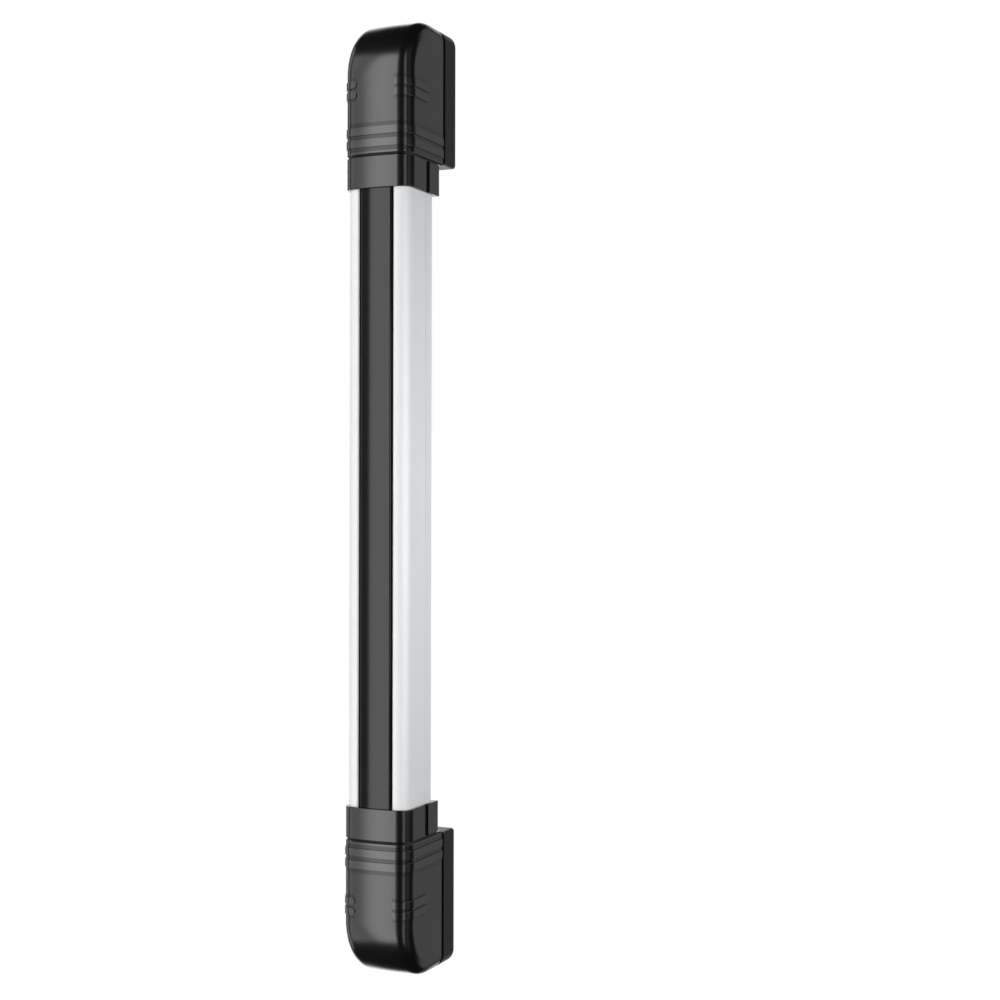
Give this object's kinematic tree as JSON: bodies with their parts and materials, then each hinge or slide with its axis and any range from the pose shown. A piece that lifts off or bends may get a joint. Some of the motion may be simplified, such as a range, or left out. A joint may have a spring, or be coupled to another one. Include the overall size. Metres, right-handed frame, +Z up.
{
  "type": "infrared beam detector",
  "caption": "Slim upright infrared beam detector bar: satin aluminium section with a black window strip, domed black end covers and wall bases.",
  "frame": {"origin": "on the wall plane, at the middle of the four wall screw holes and of the bar's length", "axes": "+Z up along the bar, -Y out of the window towards the beam, +Y into the wall"},
  "size_m": [0.0282, 0.0408, 0.357],
  "materials": {
    "satin_aluminium": "satin anodised",
    "black_housing": "semi-gloss moulded",
    "black_base": "fine matt moulded",
    "window_plastic": "smooth dark filter strip",
    "seal_rubber": "matt",
    "board_laminate": "solder mask",
    "lens_resin": "clear polished",
    "emitter_resin": "tinted resin",
    "light_resin": "tinted resin",
    "barrel_plastic": "matt moulded",
    "chip_plastic": "moulded epoxy",
    "capacitor_sleeve": "shrunk sleeve",
    "header_plastic": "moulded",
    "cap_plastic": "moulded",
    "terminal_plastic": "moulded",
    "screw_steel": "zinc plated"
  },
  "bodies": {
    "root": {"housing_extrusion": "satin_aluminium", "front_window": "window_plastic", "window_seal_left": "seal_rubber", "window_seal_right": "seal_rubber", "upper_bracket": "black_housing", "lower_bracket": "black_housing", "upper_gasket": "seal_rubber", "lower_gasket": "seal_rubber", "upper_cover": "black_housing", "lower_cover": "black_housing", "upper_wall_base": "black_base", "lower_wall_base": "black_base", "end_plate_screws": "screw_steel", "bracket_screws": "screw_steel", "cable_grommet": "seal_rubber", "main_board": "board_laminate", "indicator_light": "light_resin", "control_chip": "chip_plastic", "filter_capacitor": "capacitor_sleeve", "jumper_header": "header_plastic", "jumper_caps": "cap_plastic", "terminal_block": "terminal_plastic", "terminal_screws": "screw_steel", "lens_holder_upper": "barrel_plastic", "lens_upper": "lens_resin", "emitter_upper": "emitter_resin", "lens_holder_middle": "barrel_plastic", "lens_middle": "lens_resin", "emitter_middle": "emitter_resin", "lens_holder_lower": "barrel_plastic", "lens_lower": "lens_resin", "emitter_lower": "emitter_resin"}
  },
  "joints": []
}
